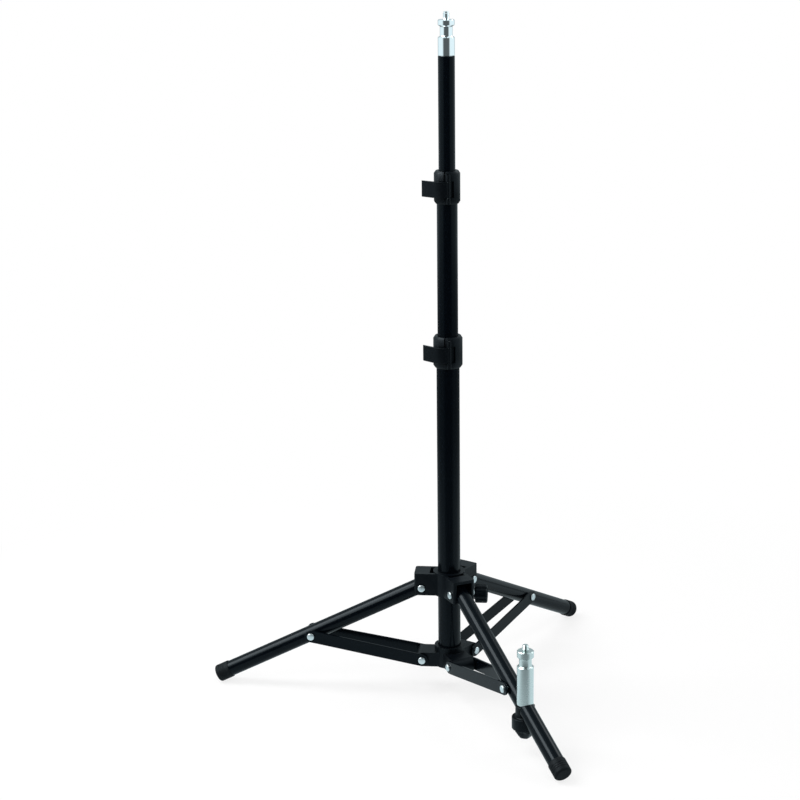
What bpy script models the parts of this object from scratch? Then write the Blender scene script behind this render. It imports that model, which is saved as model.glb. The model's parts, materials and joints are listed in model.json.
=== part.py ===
"""Compact photographic light stand: three-section column, folding leg spider, spigot on the front leg.

Metres, +Z up, the floor at z = 0. The origin is the middle of the stand's footprint, so the
column stands a little behind it (the front leg points along -Y).
"""
import math

import bmesh
import bpy
from mathutils import Matrix, Vector

# Fits
GAP = 0.0003
SLIDE_GAP = 0.00025

# Column tubes
BASE_TUBE_R = 0.01125
MID_TUBE_R = 0.0100
TOP_TUBE_R = 0.0080
TUBE_WALL = 0.0010
BASE_TUBE_BOTTOM = 0.0285
MID_TUBE_LENGTH = 0.275
TOP_TUBE_LENGTH = 0.265
TOP_TUBE_TOP = 0.63605

# Spigots, 5/8 inch
SPIGOT_R = 0.0079375
SPIGOT_NECK_R = 0.0060
STUD_R = 0.0031
SPIGOT_EDGE = 0.0006
SPIGOT_TANG = 0.020
TOP_SPIGOT_HEIGHTS = {"body": 0.0174, "neck": 0.0102, "flange": 0.0056, "stud": 0.0074}
LEG_SPIGOT_HEIGHTS = {"body": 0.0387, "neck": 0.0085, "flange": 0.0069, "stud": 0.0057}

# Flip clamps
UPPER_CLAMP_BOTTOM = 0.49735
LOWER_CLAMP_BOTTOM = 0.33675
CLAMP_HEIGHT = 0.0313
UPPER_CLAMP_R = 0.0126
LOWER_CLAMP_R = 0.01425
CLAMP_INSERT = 0.0060
CLAMP_TOP_LIP = 0.0013
CLAMP_CHAMFER = (0.0016, 0.0024)
LINER_WALL = 0.00075
LEVER_HEIGHT = 0.0153
LEVER_DEPTH = 0.0022
LEVER_REACH = 0.0242
PIN_PROUD = 0.0005
KNUCKLE_R = 0.0022
PIN_R = 0.0010
PIN_AZIMUTH = math.radians(-111)
POCKET_ANGLES = (math.radians(26), math.radians(-43))
SPLIT_ANGLE = math.radians(-17)
SPLIT_WIDTH = 0.0012

# Leg spider
LEG_AZIMUTHS = {"front": -90, "right": 30, "left": 150}
LEG_SLOPE = math.radians(26)
LEG_TUBE_R = 0.0080
LEG_REACH = 0.2358
LEG_INNER_END = -0.0060
PIVOT_R = 0.0270
COLLAR_SPACING = 0.0765
STRUT_JOINT = 0.1260
BOLT_R = 0.0024
BOLT_HOLE_R = 0.0028
BOLT_HEAD = (0.0037, 0.0021)
ARM_HALF_WIDTH = 0.0116
LUG_BELOW = 0.0074

# Leg collar
COLLAR_HUB_R = 0.0160
COLLAR_TOP = 0.0153
ARM_END_R = 0.0343
FORK_HALF_GAP = 0.0083
WEB_INNER_R = 0.0190
WEB_THICKNESS = 0.0030
ARM_CORNER = 0.0025
HUB_PROUD = 0.0006

# Lock knob on the leg collar
KNOB_AZIMUTH = math.radians(-30)
KNOB_DROP = 0.0083
KNOB_R = 0.0094
KNOB_FACE = (0.0262, 0.0386)
KNOB_FLUTES = 10
FLUTE_DEPTH = 0.0010
BOSS_R = 0.0048
BOSS_SPAN = (0.0100, 0.0245)
PAD_R = 0.0026
PAD_LENGTH = 0.0018
SCREW_R = 0.0030
SCREW_HOLE_R = 0.0034

# Strut collar and struts
STRUT_HUB_R = 0.0150
STRUT_HUB_TOP = 0.0133
BAR_WIDTH = 0.0127
BAR_THICKNESS = 0.0022
BAR_AT_LUG = 0.0121
BAR_AT_LEG = 0.00915
BAR_FLAT = 0.0085
RIVET_R = 0.0021
SLEEVE_R = 0.0030
SLEEVE_HALF_LENGTH = 0.00875

# Foot caps
CAP_R = 0.00875
CAP_ROUND = 0.0022
CAP_LENGTH = 0.0150
CAP_END_WALL = 0.0030
FLAT_DEPTH = 0.00025

# Spigot on the front leg
LEG_SPIGOT_AT = 0.1519
SPIGOT_SEAT = 0.0030
SPIGOT_SCREW_TOP = 0.0240
SADDLE_NECK_R = 0.0092
SADDLE_FLANGE_R = 0.0126
SADDLE_LEVELS = (0.0020, -0.0092, -0.0210)
SADDLE_EDGE = 0.0008
LEG_KNOB_R = 0.0112
LEG_KNOB_BOTTOM = -0.0307
LEG_KNOB_LOBES = 5
LOBE_DEPTH = 0.0026
LEG_KNOB_TURN = math.radians(30)

# Heights and reaches that follow from the legs standing on the floor
PIVOT_Z = ((LEG_REACH - CAP_ROUND) * math.sin(LEG_SLOPE) + (CAP_R - CAP_ROUND) * math.cos(LEG_SLOPE)
           + CAP_ROUND - FLAT_DEPTH)
LUG_Z = PIVOT_Z - COLLAR_SPACING
STRUT_RUN = STRUT_JOINT * math.cos(LEG_SLOPE)
STRUT_RISE = COLLAR_SPACING - STRUT_JOINT * math.sin(LEG_SLOPE)
STRUT_LENGTH = math.hypot(STRUT_RUN, STRUT_RISE)
STRUT_SLOPE = math.atan2(STRUT_RISE, STRUT_RUN)
FRONT_REACH = (PIVOT_R + (LEG_REACH - CAP_ROUND) * math.cos(LEG_SLOPE)
               + (CAP_R - CAP_ROUND) * math.sin(LEG_SLOPE) + CAP_ROUND)
REAR_SPREAD = (CAP_R - CAP_ROUND) * math.sqrt(1 - (math.cos(LEG_SLOPE) / 2) ** 2) + CAP_ROUND
REAR_REACH = (PIVOT_R + (LEG_REACH - CAP_ROUND) * math.cos(LEG_SLOPE)) / 2 + REAR_SPREAD
COLUMN_Y = (FRONT_REACH - REAR_REACH) / 2


# Materials
def material(name, colour, roughness, metallic):
    mat = bpy.data.materials.new(name)
    mat.use_nodes = True
    mat.diffuse_color = (*colour, 1)
    shader = mat.node_tree.nodes["Principled BSDF"]
    shader.inputs["Base Color"].default_value = (*colour, 1)
    shader.inputs["Roughness"].default_value = roughness
    shader.inputs["Metallic"].default_value = metallic
    return mat


FINISHES = {
    "black_paint": ((0.012, 0.014, 0.018), 0.28, 0.0),
    "black_plastic": ((0.022, 0.024, 0.028), 0.5, 0.0),
    "black_rubber": ((0.02, 0.02, 0.022), 0.75, 0.0),
    "chrome": ((0.78, 0.79, 0.8), 0.12, 1.0),
    "satin_alloy": ((0.62, 0.64, 0.61), 0.38, 1.0),
    "bright_steel": ((0.7, 0.7, 0.7), 0.25, 1.0),
}


# Meshes
def arc(centre, radius, start, end, steps):
    """Points along an arc, both ends included."""
    angles = [start + (end - start) * i / steps for i in range(steps + 1)]
    return [(centre[0] + radius * math.cos(a), centre[1] + radius * math.sin(a)) for a in angles]


def turned(profile, steps=32, closed=False):
    """(radius, height) points spun about Z; a closed profile makes a ring, an open one is capped."""
    bm = bmesh.new()
    verts = [bm.verts.new((r, 0, z)) for r, z in profile]
    pairs = list(zip(verts, verts[1:]))
    if closed:
        pairs.append((verts[-1], verts[0]))
    edges = [bm.edges.new(pair) for pair in pairs]
    bmesh.ops.spin(bm, geom=verts + edges, cent=(0, 0, 0), axis=(0, 0, 1),
                   angle=math.tau, steps=steps, use_merge=True)
    bmesh.ops.remove_doubles(bm, verts=bm.verts, dist=1e-7)
    rims = [edge for edge in bm.edges if edge.is_boundary]
    if rims:
        bmesh.ops.edgeloop_fill(bm, edges=rims)
    bmesh.ops.recalc_face_normals(bm, faces=bm.faces)
    return bm


def cylinder(radius, bottom, top, steps=12):
    return turned([(radius, bottom), (radius, top)], steps)


def prism(outline, bottom, top):
    """An (x, y) outline raised from bottom to top."""
    bm = bmesh.new()
    face = bm.faces.new([bm.verts.new((x, y, bottom)) for x, y in outline])
    raised = bmesh.ops.extrude_face_region(bm, geom=[face])
    upper = [item for item in raised["geom"] if isinstance(item, bmesh.types.BMVert)]
    bmesh.ops.translate(bm, verts=upper, vec=(0, 0, top - bottom))
    bmesh.ops.recalc_face_normals(bm, faces=bm.faces)
    return bm


def box(x0, x1, y0, y1, z0, z1):
    return prism([(x0, y0), (x1, y0), (x1, y1), (x0, y1)], z0, z1)


def fluted(profile, flutes, depth, points_per_flute=4, narrowness=3):
    """Like turned, with scallops: each (radius, height, strength) ring is cut in by depth * strength."""
    bm = bmesh.new()
    count = flutes * points_per_flute
    rings = []
    for radius, height, strength in profile:
        ring = []
        for i in range(count):
            angle = math.tau * i / count
            inset = depth * strength * abs(math.cos(angle * flutes / 2)) ** narrowness
            r = radius - inset
            ring.append(bm.verts.new((r * math.cos(angle), r * math.sin(angle), height)))
        rings.append(ring)
    for lower, upper in zip(rings, rings[1:]):
        for i in range(count):
            j = (i + 1) % count
            bm.faces.new((lower[i], lower[j], upper[j], upper[i]))
    bm.faces.new(rings[0])
    bm.faces.new(rings[-1])
    bmesh.ops.recalc_face_normals(bm, faces=bm.faces)
    return bm


def moved(bm, matrix):
    bmesh.ops.transform(bm, matrix=matrix, verts=bm.verts)
    return bm


def gathered(shapes):
    """Several separate shapes in one mesh, for a cutter that works in many places."""
    joined = bmesh.new()
    for bm in shapes:
        mesh = bpy.data.meshes.new("gathered")
        bm.to_mesh(mesh)
        bm.free()
        joined.from_mesh(mesh)
        bpy.data.meshes.remove(mesh)
    return joined


ALONG_X = Matrix.Rotation(math.pi / 2, 4, "Y")
ALONG_Y = Matrix.Rotation(-math.pi / 2, 4, "X")
STAND_UP = Matrix.Rotation(math.pi / 2, 4, "X")


def about_column(azimuth):
    return Matrix.Rotation(azimuth, 4, "Z")


# Objects
def place(obj, parent, location=(0, 0, 0), rotation=(0, 0, 0)):
    obj.parent = parent
    obj.location = location
    obj.rotation_euler = rotation
    return obj


def empty(name, parent, location=(0, 0, 0), rotation=(0, 0, 0)):
    obj = bpy.data.objects.new(name, None)
    obj.empty_display_size = 0.02
    bpy.context.scene.collection.objects.link(obj)
    return place(obj, parent, location, rotation)


def piece(name, bm, finish, parent, location=(0, 0, 0), rotation=(0, 0, 0)):
    """A named sub-part from its mesh, shaded smooth except at its real corners."""
    mesh = bpy.data.meshes.new(name)
    bm.to_mesh(mesh)
    bm.free()
    mesh.materials.append(material(name + "_finish", *FINISHES[finish]))
    mesh.shade_smooth()
    mesh.set_sharp_from_angle(angle=math.radians(32))
    obj = bpy.data.objects.new(name, mesh)
    bpy.context.scene.collection.objects.link(obj)
    return place(obj, parent, location, rotation)


def shaped(target, operation, bm, parent, location=(0, 0, 0), rotation=(0, 0, 0)):
    """Cuts a hidden tool shape out of the target, or joins it on."""
    name = f"{target.name}_{operation.lower()}_{len(target.modifiers)}"
    mesh = bpy.data.meshes.new(name)
    bm.to_mesh(mesh)
    bm.free()
    tool = bpy.data.objects.new(name, mesh)
    tool.hide_render = True
    tool.display_type = "WIRE"
    bpy.context.scene.collection.objects.link(tool)
    place(tool, parent, location, rotation)
    step = target.modifiers.new(name, "BOOLEAN")
    step.operation = operation
    step.solver = "EXACT"
    step.object = tool
    return tool


def cut(target, bm, parent, location=(0, 0, 0), rotation=(0, 0, 0)):
    return shaped(target, "DIFFERENCE", bm, parent, location, rotation)


def join(target, bm, parent, location=(0, 0, 0), rotation=(0, 0, 0)):
    return shaped(target, "UNION", bm, parent, location, rotation)


def tube(radius, bottom, top, steps=28):
    inner = radius - TUBE_WALL
    return turned([(inner, bottom), (radius, bottom), (radius, top), (inner, top)], steps, closed=True)


def tube_plug(radius, end, depth, flange_r, flange_height):
    """A plug pushed up into a tube's lower end, its flange just below the tube."""
    inner = radius - TUBE_WALL - GAP
    top = end - GAP
    return turned([(flange_r, top - flange_height), (flange_r, top), (inner, top), (inner, end + depth)], 20)


# Column
def build_column(column, middle, upper):
    base_top = LOWER_CLAMP_BOTTOM + CLAMP_INSERT
    piece("base_tube", tube(BASE_TUBE_R, BASE_TUBE_BOTTOM, base_top), "black_paint", column)
    plug = tube_plug(BASE_TUBE_R, BASE_TUBE_BOTTOM, 0.010, 0.0109, 0.0020)
    piece("base_plug", plug, "black_plastic", column)

    mid_top = UPPER_CLAMP_BOTTOM + CLAMP_INSERT
    mid_bottom = mid_top - MID_TUBE_LENGTH
    piece("mid_tube", tube(MID_TUBE_R, mid_bottom, mid_top), "black_paint", middle)
    piece("mid_tube_plug", tube_plug(MID_TUBE_R, mid_bottom, 0.012, 0.0100, 0.0040), "black_plastic", middle)

    top_bottom = TOP_TUBE_TOP - TOP_TUBE_LENGTH
    piece("top_tube", tube(TOP_TUBE_R, top_bottom, TOP_TUBE_TOP), "black_paint", upper)
    piece("top_tube_bush", tube_plug(TOP_TUBE_R, top_bottom, 0.012, 0.0087, 0.0080), "black_plastic", upper)
    tang_r = TOP_TUBE_R - TUBE_WALL - GAP
    tang = [(tang_r, -SPIGOT_TANG), (tang_r, 0)]
    piece("top_spigot", turned(tang + spigot_profile(TOP_SPIGOT_HEIGHTS), 24), "chrome", upper,
          (0, 0, TOP_TUBE_TOP + GAP))


def spigot_profile(heights):
    """A 5/8 inch spigot from its seat up: body, neck, flange and stud."""
    edge = SPIGOT_EDGE
    neck = heights["body"]
    flange = neck + heights["neck"]
    shoulder = flange + heights["flange"]
    tip = shoulder + heights["stud"]
    return [(SPIGOT_R, 0), (SPIGOT_R, neck - edge), (SPIGOT_R - edge, neck), (SPIGOT_NECK_R, neck),
            (SPIGOT_NECK_R, flange), (SPIGOT_R - edge, flange), (SPIGOT_R, flange + edge),
            (SPIGOT_R, shoulder - edge), (SPIGOT_R - edge, shoulder), (STUD_R, shoulder),
            (STUD_R, tip - edge), (STUD_R - edge, tip)]


# Flip clamps
def clamp_outline(outer, held_r, carrier_r):
    """Section of a clamp body: it sits over the carrier tube and holds a liner round the held tube."""
    fit = carrier_r + GAP
    bore = held_r + SLIDE_GAP + LINER_WALL + GAP
    lip = held_r + SLIDE_GAP
    in_step, up_step = CLAMP_CHAMFER
    shoulder = CLAMP_INSERT + GAP
    under_lip = CLAMP_HEIGHT - CLAMP_TOP_LIP
    return [(fit, 0), (outer - in_step, 0), (outer, up_step), (outer, CLAMP_HEIGHT - up_step),
            (outer - in_step, CLAMP_HEIGHT), (lip, CLAMP_HEIGHT), (lip, under_lip), (bore, under_lip),
            (bore, shoulder), (fit, shoulder)]


def polar(radius, degrees):
    angle = math.radians(degrees)
    return (radius * math.cos(angle), radius * math.sin(angle))


def lever_outline(outer, pin_at):
    """Plan of a lever about the column: a knuckle on the pin, a cranked band, a finger tab."""
    band_in = outer - LEVER_DEPTH + GAP
    front = [polar(outer + 0.0036, -17), polar(outer + 0.0042, -36), polar(outer + 0.0052, -50)]
    tip = [polar(LEVER_REACH, -86), polar(LEVER_REACH, -93)]
    back = [polar(outer + 0.0032, -66), polar(outer + 0.0022, -50), polar(outer + 0.0011, -37),
            polar(band_in, -24), polar(band_in, -15)]
    knuckle = arc((pin_at, 0), KNUCKLE_R, math.radians(212), math.radians(-40), 12)
    return front + tip + back + knuckle


def build_clamp(name, bottom, outer, held_r, carrier_r, parent, swing, pin_at):
    """A split body and liner on the parent, and a lever with its pin on the swing."""
    shoulder = CLAMP_INSERT + GAP
    lever_bottom = shoulder + 2 * GAP
    lever_top = lever_bottom + LEVER_HEIGHT
    boss_bottom, boss_top = CLAMP_CHAMFER[1] / 2, CLAMP_HEIGHT - CLAMP_CHAMFER[1]
    at_pin = Matrix.Translation((pin_at, 0, 0))
    pin_hole_r = PIN_R + SLIDE_GAP
    turn = (0, 0, PIN_AZIMUTH)
    seat = (0, 0, bottom)

    body = piece(name + "_body", turned(clamp_outline(outer, held_r, carrier_r), 32, closed=True),
                 "black_plastic", parent, seat, turn)
    join(body, moved(cylinder(KNUCKLE_R, boss_bottom, boss_top), at_pin), parent, seat, turn)
    start, end = POCKET_ANGLES
    pocket = arc((0, 0), outer + 0.006, start, end, 8) + arc((0, 0), outer - LEVER_DEPTH, end, start, 12)
    cut(body, prism(pocket, lever_bottom - GAP, lever_top + GAP), parent, seat, turn)
    cut(body, moved(cylinder(pin_hole_r, -0.001, CLAMP_HEIGHT, 12), at_pin), parent, seat, turn)
    split_out = outer + 0.002
    split = box(held_r / 2, split_out, -SPLIT_WIDTH / 2, SPLIT_WIDTH / 2,
                lever_bottom + 0.001, CLAMP_HEIGHT + 0.001)
    cut(body, moved(split, about_column(SPLIT_ANGLE)), parent, seat, turn)

    liner_in = held_r + SLIDE_GAP
    liner_out = liner_in + LINER_WALL
    liner_bottom, liner_top = shoulder + GAP, CLAMP_HEIGHT - CLAMP_TOP_LIP - GAP
    ring = [(liner_in, liner_bottom), (liner_out, liner_bottom),
            (liner_out, liner_top), (liner_in, liner_top)]
    liner = piece(name + "_liner", turned(ring, 24, closed=True), "black_plastic", parent, seat, turn)
    liner_split = box(held_r / 2, split_out, -SPLIT_WIDTH / 2, SPLIT_WIDTH / 2, 0, CLAMP_HEIGHT)
    cut(liner, moved(liner_split, about_column(SPLIT_ANGLE)), parent, seat, turn)

    plan = moved(prism(lever_outline(outer, pin_at), lever_bottom, lever_top), at_pin.inverted())
    lever = piece(name + "_lever", plan, "black_plastic", swing)
    cut(lever, cylinder(pin_hole_r, 0, CLAMP_HEIGHT, 12), swing)
    piece(name + "_pin", cylinder(PIN_R, boss_bottom + GAP, boss_top - GAP, 12), "bright_steel", swing)


# Leg spider
def build_leg_collar(collar):
    """The sliding collar: a star of three forked arms round a hub, with a boss for the lock screw."""
    star = []
    inner = ARM_HALF_WIDTH / math.sin(math.radians(60))
    for azimuth in LEG_AZIMUTHS.values():
        turn = about_column(math.radians(azimuth))
        points = [polar(inner, -60)]
        for side, start in ((-1, -math.pi / 2), (1, 0)):
            centre = (ARM_END_R - ARM_CORNER, side * (ARM_HALF_WIDTH - ARM_CORNER))
            points += arc(centre, ARM_CORNER, start, start + math.pi / 2, 4)
        star += [turn @ Vector((x, y, 0)) for x, y in points]
    outline = [(v.x, v.y) for v in star]
    body = piece("leg_collar", prism(outline, -LUG_BELOW, COLLAR_TOP), "black_plastic", collar)

    top, bottom = COLLAR_TOP + 0.001, -LUG_BELOW - 0.001
    web = COLLAR_TOP - WEB_THICKNESS
    far = ARM_END_R + 0.002
    fork = [(0.008, bottom), (far, bottom), (far, web), (WEB_INNER_R, web), (WEB_INNER_R, top), (0.008, top)]
    pockets = [moved(prism(fork, -FORK_HALF_GAP, FORK_HALF_GAP), about_column(math.radians(a)) @ STAND_UP)
               for a in LEG_AZIMUTHS.values()]
    cut(body, gathered(pockets), collar)
    join(body, cylinder(COLLAR_HUB_R, -LUG_BELOW - HUB_PROUD, COLLAR_TOP + HUB_PROUD, 32), collar)
    to_knob = about_column(KNOB_AZIMUTH) @ Matrix.Translation((0, 0, -KNOB_DROP)) @ ALONG_X
    join(body, moved(cylinder(BOSS_R, *BOSS_SPAN, 20), to_knob), collar)
    cut(body, cylinder(BASE_TUBE_R + GAP, -0.02, 0.03, 32), collar)
    cut(body, moved(cylinder(SCREW_HOLE_R, 0.008, BOSS_SPAN[1] + 0.002, 12), to_knob), collar)
    holes = [moved(cylinder(BOLT_HOLE_R, -0.014, 0.014, 12),
                   about_column(math.radians(a)) @ Matrix.Translation((PIVOT_R, 0, 0)) @ ALONG_Y)
             for a in LEG_AZIMUTHS.values()]
    cut(body, gathered(holes), collar)


def headed_pin(half_span, radius, head, steps=12):
    """A pin across a fork with a domed head at each end; half_span reaches the faces that it holds."""
    head_r, head_height = head
    seat = half_span + GAP
    side = [(radius, seat), (head_r, seat), (head_r, seat + head_height * 0.6),
            (head_r * 0.72, seat + head_height)]
    return turned([(r, -z) for r, z in reversed(side)] + side, steps)


def build_lock_knob(collar, knob):
    """The screw and knob lie along the knob joint's own X axis, out from the column."""
    pad_in = BASE_TUBE_R + GAP
    pad = (pad_in, pad_in + PAD_LENGTH)
    to_knob = about_column(KNOB_AZIMUTH) @ Matrix.Translation((0, 0, -KNOB_DROP)) @ ALONG_X
    piece("collar_lock_pad", moved(cylinder(PAD_R, pad[0], pad[1], 12), to_knob), "black_plastic", collar)
    screw_end = KNOB_FACE[1] - 0.004
    piece("collar_lock_screw", moved(cylinder(SCREW_R, pad[1] + GAP, screw_end, 12), ALONG_X),
          "bright_steel", knob)
    near, far = KNOB_FACE
    edge = 0.0014
    outline = [(KNOB_R * 0.62, near - 0.0010, 0), (KNOB_R * 0.62, near, 0), (KNOB_R - edge, near, 1),
               (KNOB_R, near + edge, 1), (KNOB_R, far - edge, 1), (KNOB_R - edge, far, 1)]
    grip = moved(fluted(outline, KNOB_FLUTES, FLUTE_DEPTH), ALONG_X)
    body = piece("collar_lock_knob", grip, "black_plastic", knob)
    cut(body, moved(cylinder(SCREW_HOLE_R, near - 0.003, screw_end + GAP, 12), ALONG_X), knob)


def build_strut_collar(column):
    hub = cylinder(STRUT_HUB_R, LUG_Z - LUG_BELOW - HUB_PROUD, LUG_Z + STRUT_HUB_TOP, 32)
    body = piece("strut_collar", hub, "black_plastic", column)
    side = [(0.008, LUG_Z + LUG_BELOW), (0.008, LUG_Z - LUG_BELOW)]
    side += arc((PIVOT_R, LUG_Z), LUG_BELOW, -math.pi / 2, math.pi / 2, 12)
    for azimuth in LEG_AZIMUTHS.values():
        turn = about_column(math.radians(azimuth))
        join(body, moved(prism(side, -ARM_HALF_WIDTH, ARM_HALF_WIDTH), turn @ STAND_UP), column)
    cut(body, cylinder(BASE_TUBE_R + GAP, 0, 0.1, 32), column)
    holes = [moved(cylinder(BOLT_HOLE_R, -0.014, 0.014, 12),
                   about_column(math.radians(a)) @ Matrix.Translation((PIVOT_R, 0, LUG_Z)) @ ALONG_Y)
             for a in LEG_AZIMUTHS.values()]
    cut(body, gathered(holes), column)
    span = BAR_AT_LUG + BAR_THICKNESS
    for side_name, azimuth in LEG_AZIMUTHS.items():
        seat = about_column(math.radians(azimuth)) @ Matrix.Translation((PIVOT_R, 0, LUG_Z)) @ ALONG_Y
        bolt = moved(headed_pin(span, BOLT_R, BOLT_HEAD), seat)
        piece(side_name + "_strut_bolt", bolt, "bright_steel", column)


def foot_cap():
    """A cup over the leg's end, along +Z, its outer corner rounded."""
    start = LEG_REACH - CAP_LENGTH
    inner = LEG_TUBE_R + 0.0002
    corner = arc((CAP_R - CAP_ROUND, LEG_REACH - CAP_ROUND), CAP_ROUND, 0, math.pi / 2, 3)
    return turned([(inner, LEG_REACH - CAP_END_WALL), (inner, start), (CAP_R - 0.0003, start),
                   (CAP_R, start + 0.0008)] + corner, 24)


def build_leg(side_name, azimuth, collar, leg):
    """One leg along the +X of its pivot, with its plug, cap and sleeve."""
    tube_end = LEG_REACH - CAP_END_WALL - GAP
    tube_turn = (0, math.pi / 2, 0)
    pipe = tube(LEG_TUBE_R, LEG_INNER_END, tube_end, 24)
    body = piece(side_name + "_leg_tube", pipe, "black_paint", leg, rotation=tube_turn)
    cut(body, moved(cylinder(BOLT_HOLE_R, -0.012, 0.012, 12), ALONG_Y), leg)
    cut(body, moved(cylinder(SLEEVE_R + GAP, -0.012, 0.012, 12),
                    Matrix.Translation((STRUT_JOINT, 0, 0)) @ ALONG_Y), leg)
    sleeve = [(SLEEVE_R - 0.0008, -SLEEVE_HALF_LENGTH), (SLEEVE_R, -SLEEVE_HALF_LENGTH),
              (SLEEVE_R, SLEEVE_HALF_LENGTH), (SLEEVE_R - 0.0008, SLEEVE_HALF_LENGTH)]
    piece(side_name + "_leg_sleeve", moved(turned(sleeve, 12, closed=True), ALONG_Y), "bright_steel", leg,
          (STRUT_JOINT, 0, 0))
    plug_r = LEG_TUBE_R - TUBE_WALL - GAP
    plug = [(LEG_TUBE_R - 0.0004, LEG_INNER_END - GAP - 0.0005), (LEG_TUBE_R, LEG_INNER_END - GAP),
            (plug_r, LEG_INNER_END - GAP), (plug_r, -BOLT_HOLE_R - 0.0002)]
    piece(side_name + "_leg_plug", turned(plug, 20), "black_plastic", leg, rotation=tube_turn)
    cap = piece(side_name + "_foot_cap", foot_cap(), "black_rubber", leg, rotation=tube_turn)
    cut(cap, box(-0.4, 0.4, -0.4, 0.4, -0.02, 0), None)
    bolt_turn = about_column(math.radians(azimuth)) @ Matrix.Translation((PIVOT_R, 0, 0)) @ ALONG_Y
    piece(side_name + "_leg_bolt", moved(headed_pin(ARM_HALF_WIDTH, BOLT_R, BOLT_HEAD), bolt_turn),
          "bright_steel", collar)
    return body


def strut_bar(outward):
    """A strut strip along +X from lug to leg, on one side, cranked inwards to meet the leg's width."""
    half = BAR_WIDTH / 2
    outline = arc((0, 0), half, math.pi / 2, 3 * math.pi / 2, 8)
    outline += arc((STRUT_LENGTH, 0), half, -math.pi / 2, math.pi / 2, 8)
    bm = prism(outline, 0, BAR_THICKNESS)
    for x in (BAR_FLAT, STRUT_LENGTH - BAR_FLAT):
        bmesh.ops.bisect_plane(bm, geom=bm.verts[:] + bm.edges[:] + bm.faces[:], plane_co=(x, 0, 0),
                               plane_no=(1, 0, 0))
    span = STRUT_LENGTH - 2 * BAR_FLAT
    for vert in bm.verts:
        along = min(max((vert.co.x - BAR_FLAT) / span, 0), 1)
        side = BAR_AT_LUG + (BAR_AT_LEG - BAR_AT_LUG) * along + vert.co.z
        vert.co = Vector((vert.co.x, outward * side, vert.co.y))
    bmesh.ops.recalc_face_normals(bm, faces=bm.faces)
    return bm


def rivet(outward):
    """Head outside the bar, shank through it, ending flush with its inner face."""
    outer_face = BAR_AT_LEG + BAR_THICKNESS
    head_r, head_height = BOLT_HEAD
    seat = outer_face + GAP
    profile = [(RIVET_R, BAR_AT_LEG), (RIVET_R, seat), (head_r, seat), (head_r, seat + head_height * 0.6),
               (head_r * 0.72, seat + head_height)]
    return moved(turned(profile, 12), Matrix.Rotation(-outward * math.pi / 2, 4, "X"))


def build_struts(side_name, strut):
    for hand, outward in (("a", 1), ("b", -1)):
        bar = piece(f"{side_name}_strut_bar_{hand}", strut_bar(outward), "black_paint", strut)
        holes = [moved(cylinder(BOLT_HOLE_R, -0.018, 0.018, 12), ALONG_Y),
                 moved(cylinder(RIVET_R + GAP + 0.0001, -0.018, 0.018, 12),
                       Matrix.Translation((STRUT_LENGTH, 0, 0)) @ ALONG_Y)]
        cut(bar, gathered(holes), strut)
        piece(f"{side_name}_strut_rivet_{hand}", rivet(outward), "bright_steel", strut,
              (STRUT_LENGTH, 0, 0))


def build_leg_spigot(leg_tube, mount, knob):
    """The spigot stands upright on the front leg; mount is an upright frame where their axes cross."""
    slope = Matrix.Rotation(LEG_SLOPE, 4, "Y")
    neck_top, flange_top, flange_bottom = SADDLE_LEVELS
    cut(leg_tube, cylinder(SCREW_HOLE_R, -0.02, 0.02), mount)

    body = piece("leg_spigot", turned(spigot_profile(LEG_SPIGOT_HEIGHTS), 24), "satin_alloy", mount,
                 (0, 0, SPIGOT_SEAT))
    cut(body, moved(cylinder(LEG_TUBE_R + GAP, -0.03, 0.03, 24), slope @ ALONG_X), mount)
    cut(body, cylinder(SCREW_HOLE_R, 0, SPIGOT_SCREW_TOP + GAP), mount)

    edge = SADDLE_EDGE
    outline = [(SADDLE_FLANGE_R - edge, flange_bottom), (SADDLE_FLANGE_R, flange_bottom + edge),
               (SADDLE_FLANGE_R, flange_top - edge), (SADDLE_FLANGE_R - edge, flange_top),
               (SADDLE_NECK_R, flange_top), (SADDLE_NECK_R, neck_top)]
    saddle = piece("spigot_saddle", turned(outline, 24), "black_plastic", mount)
    cut(saddle, moved(cylinder(LEG_TUBE_R + GAP, -0.03, 0.03, 24), slope @ ALONG_X), mount)
    cut(saddle, cylinder(SCREW_HOLE_R, flange_bottom - 0.002, 0.004), mount)

    knob_top = flange_bottom - GAP
    span = knob_top - LEG_KNOB_BOTTOM
    swell = ((0.45, 0, 0.2), (0.60, 0.22, 0.4), (0.77, 0.48, 0.7), (0.92, 0.75, 1))
    dome = [(LEG_KNOB_R * across, LEG_KNOB_BOTTOM + span * up, strength) for across, up, strength in swell]
    dome += [(LEG_KNOB_R, knob_top - 0.001, 1), (LEG_KNOB_R - edge, knob_top, 1)]
    lobed = fluted(dome, LEG_KNOB_LOBES, LOBE_DEPTH, points_per_flute=8, narrowness=2)
    nut = piece("spigot_knob", moved(lobed, about_column(LEG_KNOB_TURN)), "black_plastic", knob)
    screw_bottom = LEG_KNOB_BOTTOM + 0.004
    cut(nut, cylinder(SCREW_HOLE_R, screw_bottom - GAP, 0), knob)
    piece("spigot_screw", cylinder(SCREW_R, screw_bottom, SPIGOT_SCREW_TOP), "bright_steel", mount)


def clear_scene():
    for obj in list(bpy.data.objects):
        bpy.data.objects.remove(obj, do_unlink=True)


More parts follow.
